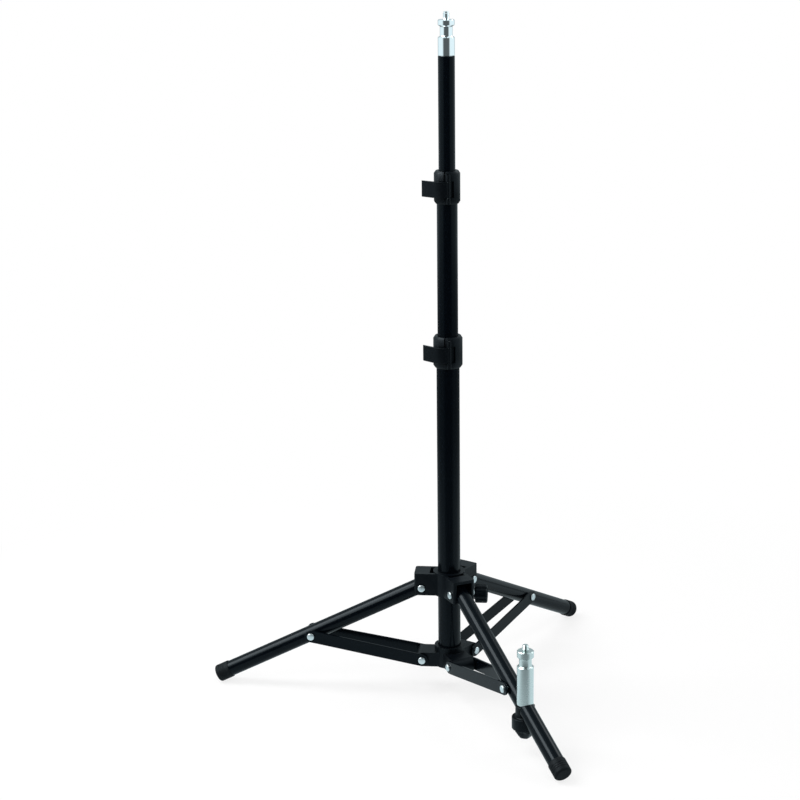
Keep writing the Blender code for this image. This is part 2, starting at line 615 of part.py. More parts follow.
def build():
    clear_scene()
    column = empty("column", None, (0, COLUMN_Y, 0))
    middle = empty("mid_slide", column)
    upper = empty("top_slide", middle)
    collar = empty("collar_slide", column, (0, 0, PIVOT_Z))
    knob = empty("lock_knob_turn", collar, (0, 0, -KNOB_DROP), (0, 0, KNOB_AZIMUTH))

    build_column(column, middle, upper)
    clamps = (("lower_clamp", LOWER_CLAMP_BOTTOM, LOWER_CLAMP_R, MID_TUBE_R, BASE_TUBE_R, column),
              ("upper_clamp", UPPER_CLAMP_BOTTOM, UPPER_CLAMP_R, TOP_TUBE_R, MID_TUBE_R, middle))
    for name, bottom, outer, held_r, carrier_r, parent in clamps:
        pin_at = outer + PIN_PROUD
        pin = about_column(PIN_AZIMUTH) @ Vector((pin_at, 0, 0))
        swing = empty(name + "_swing", parent, (pin.x, pin.y, bottom), (0, 0, PIN_AZIMUTH))
        build_clamp(name, bottom, outer, held_r, carrier_r, parent, swing, pin_at)

    build_strut_collar(column)
    build_leg_collar(collar)
    build_lock_knob(collar, knob)
    for side_name, azimuth in LEG_AZIMUTHS.items():
        angle = math.radians(azimuth)
        across = (PIVOT_R * math.cos(angle), PIVOT_R * math.sin(angle))
        leg = empty(side_name + "_leg_pivot", collar, (*across, 0), (0, LEG_SLOPE, angle))
        leg_tube = build_leg(side_name, azimuth, collar, leg)
        strut = empty(side_name + "_strut_pivot", column, (*across, LUG_Z), (0, -STRUT_SLOPE, angle))
        build_struts(side_name, strut)
        if side_name == "front":
            mount = empty("spigot_mount", leg, (LEG_SPIGOT_AT, 0, 0), (0, -LEG_SLOPE, 0))
            turn = empty("spigot_knob_turn", mount)
            build_leg_spigot(leg_tube, mount, turn)


build()
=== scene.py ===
import json
import math

import bmesh
import bpy
from mathutils import Matrix, Vector


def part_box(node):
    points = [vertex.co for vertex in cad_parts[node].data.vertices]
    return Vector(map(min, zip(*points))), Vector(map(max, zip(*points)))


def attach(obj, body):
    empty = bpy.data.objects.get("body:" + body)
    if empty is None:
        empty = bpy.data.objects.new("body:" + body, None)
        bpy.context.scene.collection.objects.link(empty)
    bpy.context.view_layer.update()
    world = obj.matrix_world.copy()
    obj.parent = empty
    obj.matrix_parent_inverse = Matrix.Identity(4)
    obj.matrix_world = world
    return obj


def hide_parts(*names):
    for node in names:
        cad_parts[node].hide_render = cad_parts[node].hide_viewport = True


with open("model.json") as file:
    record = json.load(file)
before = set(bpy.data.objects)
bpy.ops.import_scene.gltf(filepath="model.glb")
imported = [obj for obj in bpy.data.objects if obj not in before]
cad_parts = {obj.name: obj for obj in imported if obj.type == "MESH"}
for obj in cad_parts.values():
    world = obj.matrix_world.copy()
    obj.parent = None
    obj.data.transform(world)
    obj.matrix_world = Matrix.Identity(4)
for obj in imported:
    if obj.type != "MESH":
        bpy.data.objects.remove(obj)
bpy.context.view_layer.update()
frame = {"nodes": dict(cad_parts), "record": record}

# Where things stand, from the frame
JOINTS = {joint["name"]: joint for joint in frame["record"]["behaviour"]["joints"]}
COLUMN = sum(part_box("base_tube"), Vector()) / 2
PIVOT = Vector(JOINTS["front_leg_fold"]["pos_m"])
LUG = Vector(JOINTS["front_strut_fold"]["pos_m"])
AT_COLUMN = Matrix.Translation((COLUMN.x, COLUMN.y, 0))

# All lengths are in metres. Room between pieces, and how far a cutting shape goes past a surface
GAP = 0.0003
SLIP_ROOM = 0.00025
HOLE_ROOM = 0.0004
OVERCUT = 0.001
# How many flats make a round form
TUBE_SIDES, LEG_SIDES, PIN_SIDES, HOLE_SIDES, PIN_HOLE_SIDES = 96, 72, 48, 32, 24
# Corners flatter than this stay smooth
SMOOTH_ANGLE = math.radians(34)

# Tubes
BASE_TUBE_R, MID_TUBE_R, TOP_TUBE_R, LEG_TUBE_R = 0.01125, 0.0100, 0.0080, 0.0080
TUBE_WALL, TUBE_EDGE = 0.0010, 0.00025

# Leg spider: the pivots, the legs, the leg collar and the strut collar
LEG_AZIMUTHS = {"front": -90, "right": 30, "left": 150}
LEG_SLOPE = math.radians(26)
LEG_REACH = 0.2358
LEG_INNER_END = -0.0060
PIVOT_R = 0.0270
STRUT_JOINT = 0.1260
ARM_HALF_WIDTH = 0.0116
ARM_END_R, ARM_CORNER = 0.0343, 0.0025
LUG_BELOW = 0.0074
COLLAR_TOP = 0.0153
COLLAR_HUB_R, STRUT_HUB_R = 0.0160, 0.0150
HUB_PROUD, STRUT_HUB_TOP = 0.0006, 0.0133
ARM_ROOT_R = 0.0080
FORK_HALF_GAP = 0.0083
FORK_WEB, FORK_WEB_R = 0.0030, 0.0190

# Bolts, rivets and strut bars
BOLT_R, RIVET_R = 0.0024, 0.0021
BOLT_HEAD_R, BOLT_HEAD_HEIGHT = 0.0037, 0.0018
BAR_WIDTH, BAR_THICKNESS = 0.0127, 0.0022
BAR_AT_LUG, BAR_AT_LEG, BAR_FLAT = 0.0121, 0.00915, 0.0085
BEND_CUTS = (-0.0015, 0, 0.0015)
BAR_END_STEPS = 20
# The pan head: its round edge and what that takes of the height, then where its top flattens
HEAD_EDGE, HEAD_EDGE_DROP, HEAD_EDGE_TURN = BOLT_HEAD_HEIGHT * 0.52, 1.25, math.radians(72)
HEAD_FLAT_SHARE, HEAD_FLAT_DROP, HEAD_POINT_R = 0.45, 0.08, 0.0004
# Half lengths of the drills that go through the arms, a leg, a pair of bars and the collars,
# and of the ways for the leg spigot's screw and for the leg that it sits on
ARM_DRILL, LEG_DRILL, BAR_DRILL, BORE_DRILL = 0.014, 0.012, 0.018, 0.05
SCREW_DRILL, LEG_WAY = 0.02, 0.03

# Foot caps
CAP_R, CAP_ROUND, CAP_LENGTH, CAP_END_WALL = 0.00875, 0.0022, 0.0150, 0.0030
CAP_ROOM = 0.0002
# The cap's mouth: how far in from its side, and how far up from its end
CAP_MOUTH = ((0.0004, 0), (0.0001, 0.0003), (0, 0.0008))
CAP_GROOVES, GROOVES_FROM_MOUTH, GROOVE_PITCH, GROOVE_DEPTH = 3, 0.0050, 0.0022, 0.0003
# What is cut off the caps below the floor
FLOOR_CUT_HALF, FLOOR_CUT_DEPTH = 0.4, 0.02

# Spigots: the two tables at the end give the height of each stage in turn
SPIGOT_R, SPIGOT_NECK_R, STUD_R = 0.0079375, 0.0060, 0.0031
SPIGOT_EDGE, SPIGOT_FOOT_EDGE, NECK_FILLET = 0.0007, 0.0003, 0.0012
THREAD_PITCH, THREAD_DEPTH, THREAD_CREST = 0.00127, 0.00055, (0.42, 0.58)
STUD_FLARE, STUD_FLARE_HEIGHT = 0.0006, 0.0005
FIRST_TURN, PLAIN_END, STUD_EDGE = 0.0009, 0.0007, 0.0003
TANG_LENGTH, TANG_EDGE = 0.0200, 0.0005
LEG_SPIGOT_AT = 0.1519
SPIGOT_SEAT, SPIGOT_SCREW_TOP = 0.0030, 0.0213
TOP_SPIGOT = {"body": 0.0174, "neck": 0.0102, "flange": 0.0056, "stud": 0.0074}
LEG_SPIGOT = {"body": 0.0387, "neck": 0.0085, "flange": 0.0069, "stud": 0.0057}

# Flip clamps
CLAMPS = {
    "lower_clamp": {"body": "base", "lever": "lower_lever", "outer": 0.01425,
                    "held": MID_TUBE_R, "carrier": BASE_TUBE_R, "bottom": 0.33675},
    "upper_clamp": {"body": "mid_section", "lever": "upper_lever", "outer": 0.0126,
                    "held": TOP_TUBE_R, "carrier": MID_TUBE_R, "bottom": 0.49735},
}
CLAMP_HEIGHT, CLAMP_INSERT, CLAMP_TOP_LIP = 0.0313, 0.0060, 0.0013
CLAMP_CHAMFER = (0.0016, 0.0024)
LINER_ROOM = 0.0013
LEVER_HEIGHT, LEVER_DEPTH, LEVER_REACH = 0.0153, 0.0022, 0.0242
# The lever seen from above: how far each corner stands off the clamp's round, at how many degrees
LEVER_FRONT = ((0.0036, -17), (0.0042, -36), (0.0052, -50))
LEVER_TIP = (-86, -93)
LEVER_BACK = ((0.0032, -66), (0.0022, -50), (0.0011, -37))
LEVER_BAND = (-24, -15)
LEVER_KNUCKLE = (212, -40)
POCKET = (26, -43)
PIN_PROUD, PIN_R, PIN_EDGE, KNUCKLE_R = 0.0005, 0.0010, 0.0002, 0.0022
PIN_AZIMUTH = math.radians(-111)
SPLIT_ANGLE, SPLIT_WIDTH = math.radians(-17), 0.0012

# Lock knob on the leg collar, and the boss that its screw goes through
KNOB_AZIMUTH = math.radians(-30)
KNOB_DROP = 0.0083
KNOB_R, KNOB_NEAR, KNOB_FAR = 0.0094, 0.0262, 0.0386
KNOB_FLUTES, FLUTE_DEPTH = 10, 0.0010
KNOB_DISH, KNOB_BLIND_END = 0.0008, 0.0037
KNOB_NEAR_ROUND, KNOB_FAR_ROUND, KNOB_NEAR_CORNER, KNOB_HUB_LENGTH = 0.0014, 0.0016, 0.0018, 0.0010
# Shares of the knob's radius: its hub, the rim of its dish, the dish's wall and its floor
KNOB_SHARES = (0.62, 0.74, 0.70, 0.40)
BOSS_R, BOSS_ROOT, BOSS_FACE, BOSS_SHOULDER = 0.0048, 0.0100, 0.0248, 0.0040
SCREW_R = 0.0030

# Saddle and knob under the leg spigot
SADDLE_NECK_R, SADDLE_FLANGE_R, SADDLE_EDGE = 0.0092, 0.0126, 0.0008
SADDLE_NECK_ROOT, SADDLE_NECK_EDGE = 0.0006, 0.0004
SADDLE_NECK_TOP, SADDLE_FLANGE_TOP, SADDLE_BOTTOM = 0.0020, -0.0092, -0.0210
LEG_KNOB_R, LEG_KNOB_BOTTOM = 0.0112, -0.0307
LEG_KNOB_LOBES, LOBE_DEPTH, LEG_KNOB_TURN = 5, 0.0026, math.radians(30)
# The knob's underside, going up: share of the radius, share of the height, strength of the lobes
LEG_KNOB_SWELL = ((0.36, 0, 0.1), (0.45, 0.02, 0.2), (0.52, 0.09, 0.3), (0.60, 0.22, 0.4),
                  (0.69, 0.35, 0.55), (0.77, 0.48, 0.7), (0.85, 0.62, 0.9), (0.92, 0.75, 1),
                  (0.97, 0.84, 1))
# Its top edge: how far in from its side, and how far down from its top
LEG_KNOB_EDGE = ((0, 0.0010), (0.0002, 0.0003), (0.0008, 0))

STRUT_RUN = STRUT_JOINT * math.cos(LEG_SLOPE)
STRUT_RISE = PIVOT.z - LUG.z - STRUT_JOINT * math.sin(LEG_SLOPE)
STRUT_LENGTH = math.hypot(STRUT_RUN, STRUT_RISE)
STRUT_SLOPE = math.atan2(STRUT_RISE, STRUT_RUN)


# Shared surface effects
def group(name, inputs, outputs):
    tree = bpy.data.node_groups.new(name, "ShaderNodeTree")
    for label, value in inputs:
        socket = tree.interface.new_socket(label, in_out="INPUT", socket_type="NodeSocketFloat")
        socket.default_value = value
    for label, kind in outputs:
        tree.interface.new_socket(label, in_out="OUTPUT", socket_type=kind)
    return tree, tree.nodes.new("NodeGroupInput"), tree.nodes.new("NodeGroupOutput")


def set_or_link(tree, socket, value):
    if isinstance(value, float):
        socket.default_value = value
    else:
        tree.links.new(value, socket)


def noise(tree, vector, scale, detail=3, roughness=0.5):
    node = tree.nodes.new("ShaderNodeTexNoise")
    node.inputs["Detail"].default_value = detail
    node.inputs["Roughness"].default_value = roughness
    set_or_link(tree, node.inputs["Scale"], scale)
    tree.links.new(vector, node.inputs["Vector"])
    return node.outputs["Fac"]


def maths(tree, operation, a, b):
    node = tree.nodes.new("ShaderNodeMath")
    node.operation = operation
    set_or_link(tree, node.inputs[0], a)
    set_or_link(tree, node.inputs[1], b)
    return node.outputs[0]


def vector_maths(tree, operation, vector, by=None):
    node = tree.nodes.new("ShaderNodeVectorMath")
    node.operation = operation
    tree.links.new(vector, node.inputs[0])
    if by is not None:
        node.inputs[1].default_value = by
    return node.outputs["Value" if operation in ("LENGTH", "DOT_PRODUCT") else "Vector"]


def spread(tree, value, low, high, to_low=0.0, to_high=1.0):
    """The value's range from low to high, mapped to another range and held at its ends."""
    node = tree.nodes.new("ShaderNodeMapRange")
    tree.links.new(value, node.inputs["Value"])
    node.inputs["From Min"].default_value = low
    node.inputs["From Max"].default_value = high
    node.inputs["To Min"].default_value = to_low
    node.inputs["To Max"].default_value = to_high
    return node.outputs["Result"]


def relief(tree, height, strength, distance):
    node = tree.nodes.new("ShaderNodeBump")
    node.inputs["Distance"].default_value = distance
    tree.links.new(height, node.inputs["Height"])
    tree.links.new(strength, node.inputs["Strength"])
    return node.outputs["Normal"]


def surface_grain():
    """A fine moulded or sprayed skin: Normal is the relief of two sizes of grain."""
    tree, given, result = group("surface_grain", [("Fine Scale", 1500.0), ("Depth", 0.1)],
                                [("Normal", "NodeSocketVector")])
    coarse_share, deepest = 0.22, 0.0001
    place = tree.nodes.new("ShaderNodeTexCoord").outputs["Object"]
    fine = noise(tree, place, given.outputs["Fine Scale"], detail=2)
    coarse_scale = maths(tree, "MULTIPLY", given.outputs["Fine Scale"], coarse_share)
    height = maths(tree, "ADD", fine, noise(tree, place, coarse_scale))
    normal = relief(tree, height, given.outputs["Depth"], deepest)
    tree.links.new(normal, result.inputs["Normal"])
    return tree


def handling_wear():
    """Edge is bright where corners are rubbed, Smear is a soft cloud of handling marks."""
    tree, given, result = group("handling_wear", [("Edge Amount", 0.3), ("Smear Scale", 45.0)],
                                [("Edge", "NodeSocketFloat"), ("Smear", "NodeSocketFloat")])
    corners, breaks, smears = (0.52, 0.60), (0.45, 0.62), (0.38, 0.68)
    break_scale = 420.0
    place = tree.nodes.new("ShaderNodeTexCoord").outputs["Object"]
    pointed = tree.nodes.new("ShaderNodeNewGeometry").outputs["Pointiness"]
    corner = spread(tree, pointed, *corners)
    broken = spread(tree, noise(tree, place, break_scale, detail=4, roughness=0.65), *breaks)
    rubbed = maths(tree, "MULTIPLY", corner, broken)
    edge = maths(tree, "MULTIPLY", rubbed, given.outputs["Edge Amount"])
    cloud = noise(tree, place, given.outputs["Smear Scale"], detail=5, roughness=0.6)
    tree.links.new(edge, result.inputs["Edge"])
    tree.links.new(spread(tree, cloud, *smears), result.inputs["Smear"])
    return tree


def turning_lines():
    """Fine lathe rings round a piece's own Z, with a little drift: a mask and its relief."""
    tree, given, result = group("turning_lines", [("Pitch Scale", 2600.0), ("Depth", 0.15)],
                                [("Normal", "NodeSocketVector"), ("Lines", "NodeSocketFloat")])
    drift, deepest = 0.02, 0.00005
    place = tree.nodes.new("ShaderNodeTexCoord").outputs["Object"]
    flat = vector_maths(tree, "MULTIPLY", place, (drift, drift, 1.0))
    lines = noise(tree, flat, given.outputs["Pitch Scale"], roughness=0.6)
    normal = relief(tree, lines, given.outputs["Depth"], deepest)
    tree.links.new(normal, result.inputs["Normal"])
    tree.links.new(lines, result.inputs["Lines"])
    return tree


GRAIN = surface_grain()
WEAR = handling_wear()
TURNING = turning_lines()


# Finishes
COOL_GLOSS = (0.80, 0.93, 1.0, 1)
# The strength of lathe rings times smears at which a metal is dullest
FULL_DULLING = 0.7


def effect(tree, made_group, **values):
    node = tree.nodes.new("ShaderNodeGroup")
    node.node_tree = made_group
    for label, value in values.items():
        node.inputs[label.replace("_", " ")].default_value = value
    return node


def finish(name):
    mat = bpy.data.materials.new(name)
    mat.use_nodes = True
    return mat, mat.node_tree, mat.node_tree.nodes["Principled BSDF"]


def blended(tree, mask, low, high):
    """From the low colour to the high one by the mask; low may be a colour or a socket."""
    node = tree.nodes.new("ShaderNodeMix")
    node.data_type = "RGBA"
    if isinstance(low, tuple):
        node.inputs["A"].default_value = (*low, 1)
    else:
        tree.links.new(low, node.inputs["A"])
    node.inputs["B"].default_value = (*high, 1)
    tree.links.new(mask, node.inputs["Factor"])
    return node.outputs["Result"]


def coated_black(name, dark, light, worn, rough, grain_scale, grain_depth, edge, specular):
    """Black paint, plastic or rubber: clouded colour, grain, smeared gloss and rubbed corners."""
    mat, tree, shader = finish(name)
    shader.inputs["Specular IOR Level"].default_value = specular
    shader.inputs["Specular Tint"].default_value = COOL_GLOSS
    grain = effect(tree, GRAIN, Fine_Scale=grain_scale, Depth=grain_depth)
    wear = effect(tree, WEAR, Edge_Amount=edge)
    tone = blended(tree, wear.outputs["Smear"], dark, light)
    colour = blended(tree, wear.outputs["Edge"], tone, worn)
    gloss = spread(tree, wear.outputs["Smear"], 0.0, 1.0, *rough)
    tree.links.new(colour, shader.inputs["Base Color"])
    tree.links.new(gloss, shader.inputs["Roughness"])
    tree.links.new(grain.outputs["Normal"], shader.inputs["Normal"])
    return mat


def turned_metal(name, dark, light, rough, pitch, depth):
    """Bare or plated metal with lathe rings and faint handling smears."""
    mat, tree, shader = finish(name)
    shader.inputs["Metallic"].default_value = 1.0
    rings = effect(tree, TURNING, Pitch_Scale=pitch, Depth=depth)
    wear = effect(tree, WEAR, Edge_Amount=0.0)
    colour = blended(tree, rings.outputs["Lines"], dark, light)
    both = maths(tree, "MULTIPLY", rings.outputs["Lines"], wear.outputs["Smear"])
    tree.links.new(colour, shader.inputs["Base Color"])
    gloss = spread(tree, both, 0.0, FULL_DULLING, *rough)
    tree.links.new(gloss, shader.inputs["Roughness"])
    tree.links.new(rings.outputs["Normal"], shader.inputs["Normal"])
    return mat


FINISHES = {
    "black_paint": coated_black(
        "black_paint", (0.0006, 0.0015, 0.0029), (0.0009, 0.0019, 0.0034),
        worn=(0.03, 0.035, 0.04), rough=(0.174, 0.184), grain_scale=1100.0, grain_depth=0.005,
        edge=0.03, specular=0.11),
    "black_plastic": coated_black(
        "black_plastic", (0.0010, 0.0019, 0.0032), (0.0024, 0.0035, 0.0050),
        worn=(0.03, 0.035, 0.04), rough=(0.38, 0.50), grain_scale=1600.0, grain_depth=0.15,
        edge=0.10, specular=0.13),
    "black_rubber": coated_black(
        "black_rubber", (0.0026, 0.0032, 0.0040), (0.0054, 0.0064, 0.0076),
        worn=(0.03, 0.03, 0.03), rough=(0.55, 0.70), grain_scale=900.0, grain_depth=0.30,
        edge=0.2, specular=0.12),
    "chrome": turned_metal(
        "chrome", (0.88, 0.92, 0.93), (0.96, 0.98, 0.99),
        rough=(0.05, 0.12), pitch=3200.0, depth=0.05),
    "satin_alloy": turned_metal(
        "satin_alloy", (0.54, 0.61, 0.60), (0.66, 0.72, 0.71),
        rough=(0.22, 0.34), pitch=2400.0, depth=0.15),
    "bright_steel": turned_metal(
        "bright_steel", (0.58, 0.63, 0.64), (0.70, 0.75, 0.76),
        rough=(0.34, 0.46), pitch=3000.0, depth=0.08),
}


# Shapes
def arc(centre, radius, start, end, steps):
    angles = [start + (end - start) * i / steps for i in range(steps + 1)]
    return [(centre[0] + radius * math.cos(a), centre[1] + radius * math.sin(a)) for a in angles]


def polar(radius, degrees):
    angle = math.radians(degrees)
    return (radius * math.cos(angle), radius * math.sin(angle))


def turned(profile, steps=TUBE_SIDES, closed=False):
    """(radius, height) points spun about Z: closed ones make a ring, open ones are capped."""
    bm = bmesh.new()
    verts = [bm.verts.new((r, 0, z)) for r, z in profile]
    pairs = list(zip(verts, verts[1:]))
    if closed:
        pairs.append((verts[-1], verts[0]))
    edges = [bm.edges.new(pair) for pair in pairs]
    bmesh.ops.spin(bm, geom=verts + edges, cent=(0, 0, 0), axis=(0, 0, 1), angle=math.tau,
                   steps=steps, use_merge=True)
    bmesh.ops.remove_doubles(bm, verts=bm.verts, dist=1e-7)
    rims = [edge for edge in bm.edges if edge.is_boundary]
    if rims:
        bmesh.ops.edgeloop_fill(bm, edges=rims)
    bmesh.ops.recalc_face_normals(bm, faces=bm.faces)
    return bm


def cylinder(radius, bottom, top, steps=PIN_SIDES):
    return turned([(radius, bottom), (radius, top)], steps)


def drill(radius, half_length, steps=HOLE_SIDES):
    return cylinder(radius, -half_length, half_length, steps)


def prism(outline, bottom, top):
    bm = bmesh.new()
    face = bm.faces.new([bm.verts.new((x, y, bottom)) for x, y in outline])
    raised = bmesh.ops.extrude_face_region(bm, geom=[face])
    verts = [item for item in raised["geom"] if isinstance(item, bmesh.types.BMVert)]
    bmesh.ops.translate(bm, verts=verts, vec=(0, 0, top - bottom))
    bmesh.ops.recalc_face_normals(bm, faces=bm.faces)
    return bm


def box(x0, x1, y0, y1, z0, z1):
    return prism([(x0, y0), (x1, y0), (x1, y1), (x0, y1)], z0, z1)


def fluted(profile, flutes, depth, points_per_flute=14, narrowness=3):
    """Like turned, with scallops: each (radius, height, strength) ring is cut by its strength."""
    bm = bmesh.new()
    count = flutes * points_per_flute
    rings = []
    for radius, height, strength in profile:
        ring = []
        for i in range(count):
            angle = math.tau * i / count
            r = radius - depth * strength * abs(math.cos(angle * flutes / 2)) ** narrowness
            ring.append(bm.verts.new((r * math.cos(angle), r * math.sin(angle), height)))
        rings.append(ring)
    for lower, upper in zip(rings, rings[1:]):
        for i in range(count):
            j = (i + 1) % count
            bm.faces.new((lower[i], lower[j], upper[j], upper[i]))
    bm.faces.new(rings[0])
    bm.faces.new(rings[-1])
    bmesh.ops.recalc_face_normals(bm, faces=bm.faces)
    return bm


def moved(bm, matrix):
    bmesh.ops.transform(bm, matrix=matrix, verts=bm.verts)
    return bm


def about_column(azimuth):
    return Matrix.Rotation(azimuth, 4, "Z")


ALONG_X = Matrix.Rotation(math.pi / 2, 4, "Y")
ALONG_Y = Matrix.Rotation(-math.pi / 2, 4, "X")
STAND_UP = Matrix.Rotation(math.pi / 2, 4, "X")
ARM_TURNS = {side: about_column(math.radians(azimuth)) for side, azimuth in LEG_AZIMUTHS.items()}
BOLT_WAY = Matrix.Translation((PIVOT_R, 0, 0)) @ ALONG_Y


def mesh_object(name, bm):
    mesh = bpy.data.meshes.new(name)
    bm.to_mesh(mesh)
    bm.free()
    obj = bpy.data.objects.new(name, mesh)
    bpy.context.scene.collection.objects.link(obj)
    return obj


def added(shape):
    return ("UNION", shape)


def cut(shape):
    return ("DIFFERENCE", shape)


def carved(bm, steps):
    """The shape after each added or cut shape in turn."""
    target = mesh_object("shape_in_work", bm)
    tools = []
    for operation, tool in steps:
        tools.append(mesh_object("tool_in_work", tool))
        step = target.modifiers.new("step", "BOOLEAN")
        step.operation = operation
        step.solver = "EXACT"
        step.object = tools[-1]
    bpy.context.view_layer.update()
    shaped = target.evaluated_get(bpy.context.evaluated_depsgraph_get())
    result = bmesh.new()
    result.from_mesh(shaped.to_mesh())
    shaped.to_mesh_clear()
    for obj in [target] + tools:
        mesh = obj.data
        bpy.data.objects.remove(obj)
        bpy.data.meshes.remove(mesh)
    bmesh.ops.dissolve_degenerate(result, dist=1e-6, edges=result.edges)
    return result


def piece(node, bm, look, body, place, bevel=0.0):
    """A finished piece that stands for a CAD node: soft corners, smooth rounds, its own finish."""
    obj = mesh_object(node + "_finished", bm)
    obj.data.materials.append(FINISHES[look])
    obj.data.shade_smooth()
    obj.data.set_sharp_from_angle(angle=SMOOTH_ANGLE)
    if bevel:
        soften = obj.modifiers.new("soft_corners", "BEVEL")
        soften.width = bevel
        soften.segments = 3
        soften.limit_method = "ANGLE"
        soften.angle_limit = SMOOTH_ANGLE
        soften.use_clamp_overlap = True
        soften.harden_normals = True
    obj.matrix_world = place
    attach(obj, body)
    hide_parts(node)


def paint_node(node, look):
    """A hidden piece that stays the plain solid, in its own material."""
    frame["nodes"][node].data.materials.clear()
    frame["nodes"][node].data.materials.append(FINISHES[look])


# Column
def tube_section(radius, bottom, top):
    """A drawn tube with its mouths broken a little inside and out."""
    edge = TUBE_EDGE
    inner = radius - TUBE_WALL
    return [(inner, bottom + edge), (inner + edge, bottom),
            (radius - edge, bottom), (radius, bottom + edge),
            (radius, top - edge), (radius - edge, top),
            (inner + edge, top), (inner, top - edge)]


def column_tube(node, radius, body):
    low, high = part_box(node)
    section = tube_section(radius, low.z, high.z)
    piece(node, turned(section, closed=True), "black_paint", body, AT_COLUMN)


def threaded_stud(foot, length):
    """A flared foot, whole turns of thread and a plain end, as (radius, height) points."""
    root_r = STUD_R - THREAD_DEPTH
    turns = int((length - FIRST_TURN - PLAIN_END) / THREAD_PITCH)
    points = [(STUD_R + STUD_FLARE, foot), (root_r, foot + STUD_FLARE_HEIGHT)]
    start = foot + FIRST_TURN
    for i in range(turns):
        low = start + i * THREAD_PITCH
        points.append((root_r, low))
        points += [(STUD_R, low + THREAD_PITCH * share) for share in THREAD_CREST]
    tip = foot + length
    return points + [(root_r, start + turns * THREAD_PITCH), (root_r, tip - STUD_EDGE),
                     (root_r - STUD_EDGE, tip)]


def spigot_profile(heights):
    """Seat, body, rounded neck, flange and a threaded stud, as (radius, height) points."""
    edge, fillet = SPIGOT_EDGE, NECK_FILLET
    neck = heights["body"]
    flange = neck + heights["neck"]
    shoulder = flange + heights["flange"]
    profile = [(SPIGOT_R - SPIGOT_FOOT_EDGE, 0), (SPIGOT_R, SPIGOT_FOOT_EDGE),
               (SPIGOT_R, neck - edge), (SPIGOT_R - edge, neck)]
    fillet_r = SPIGOT_NECK_R + fillet
    profile += arc((fillet_r, neck + fillet), fillet, -math.pi / 2, -math.pi, steps=5)
    profile += arc((fillet_r, flange - fillet), fillet, math.pi, math.pi / 2, steps=5)
    profile += [(SPIGOT_R - edge, flange), (SPIGOT_R, flange + edge),
                (SPIGOT_R, shoulder - edge), (SPIGOT_R - edge, shoulder)]
    return profile + threaded_stud(shoulder, heights["stud"])


def build_column():
    column_tube("base_tube", BASE_TUBE_R, "base")
    column_tube("mid_tube", MID_TUBE_R, "mid_section")
    column_tube("top_tube", TOP_TUBE_R, "top_section")
    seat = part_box("top_tube")[1].z + GAP
    tang_r = TOP_TUBE_R - TUBE_WALL - GAP
    tang = [(tang_r - TANG_EDGE, -TANG_LENGTH), (tang_r, TANG_EDGE - TANG_LENGTH), (tang_r, 0)]
    piece("top_spigot", turned(tang + spigot_profile(TOP_SPIGOT)), "chrome", "top_section",
          AT_COLUMN @ Matrix.Translation((0, 0, seat)))
    for node in ("base_plug", "mid_tube_plug", "top_tube_bush"):
        paint_node(node, "black_plastic")


# Flip clamps
def clamp_section(outer, held, carrier):
    """Half the clamp's section: the socket on the carrying tube, the liner's room and the lip."""
    fit = carrier + GAP
    bore = held + LINER_ROOM
    lip = held + SLIP_ROOM
    in_step, up_step = CLAMP_CHAMFER
    shoulder = CLAMP_INSERT + GAP
    under_lip = CLAMP_HEIGHT - CLAMP_TOP_LIP
    return [(fit, 0), (outer - in_step, 0), (outer, up_step), (outer, CLAMP_HEIGHT - up_step),
            (outer - in_step, CLAMP_HEIGHT), (lip, CLAMP_HEIGHT), (lip, under_lip),
            (bore, under_lip), (bore, shoulder), (fit, shoulder)]


def lever_outline(outer, pin_at):
    """Front, finger tab, back, the band that lies in the pocket, and the knuckle, from above."""
    front = [polar(outer + off, degrees) for off, degrees in LEVER_FRONT]
    tip = [polar(LEVER_REACH, degrees) for degrees in LEVER_TIP]
    back = [polar(outer + off, degrees) for off, degrees in LEVER_BACK]
    band = arc((0, 0), outer - LEVER_DEPTH + GAP, *map(math.radians, LEVER_BAND), steps=4)
    knuckle = arc((pin_at, 0), KNUCKLE_R, *map(math.radians, LEVER_KNUCKLE), steps=28)
    return front + tip + back + band + knuckle


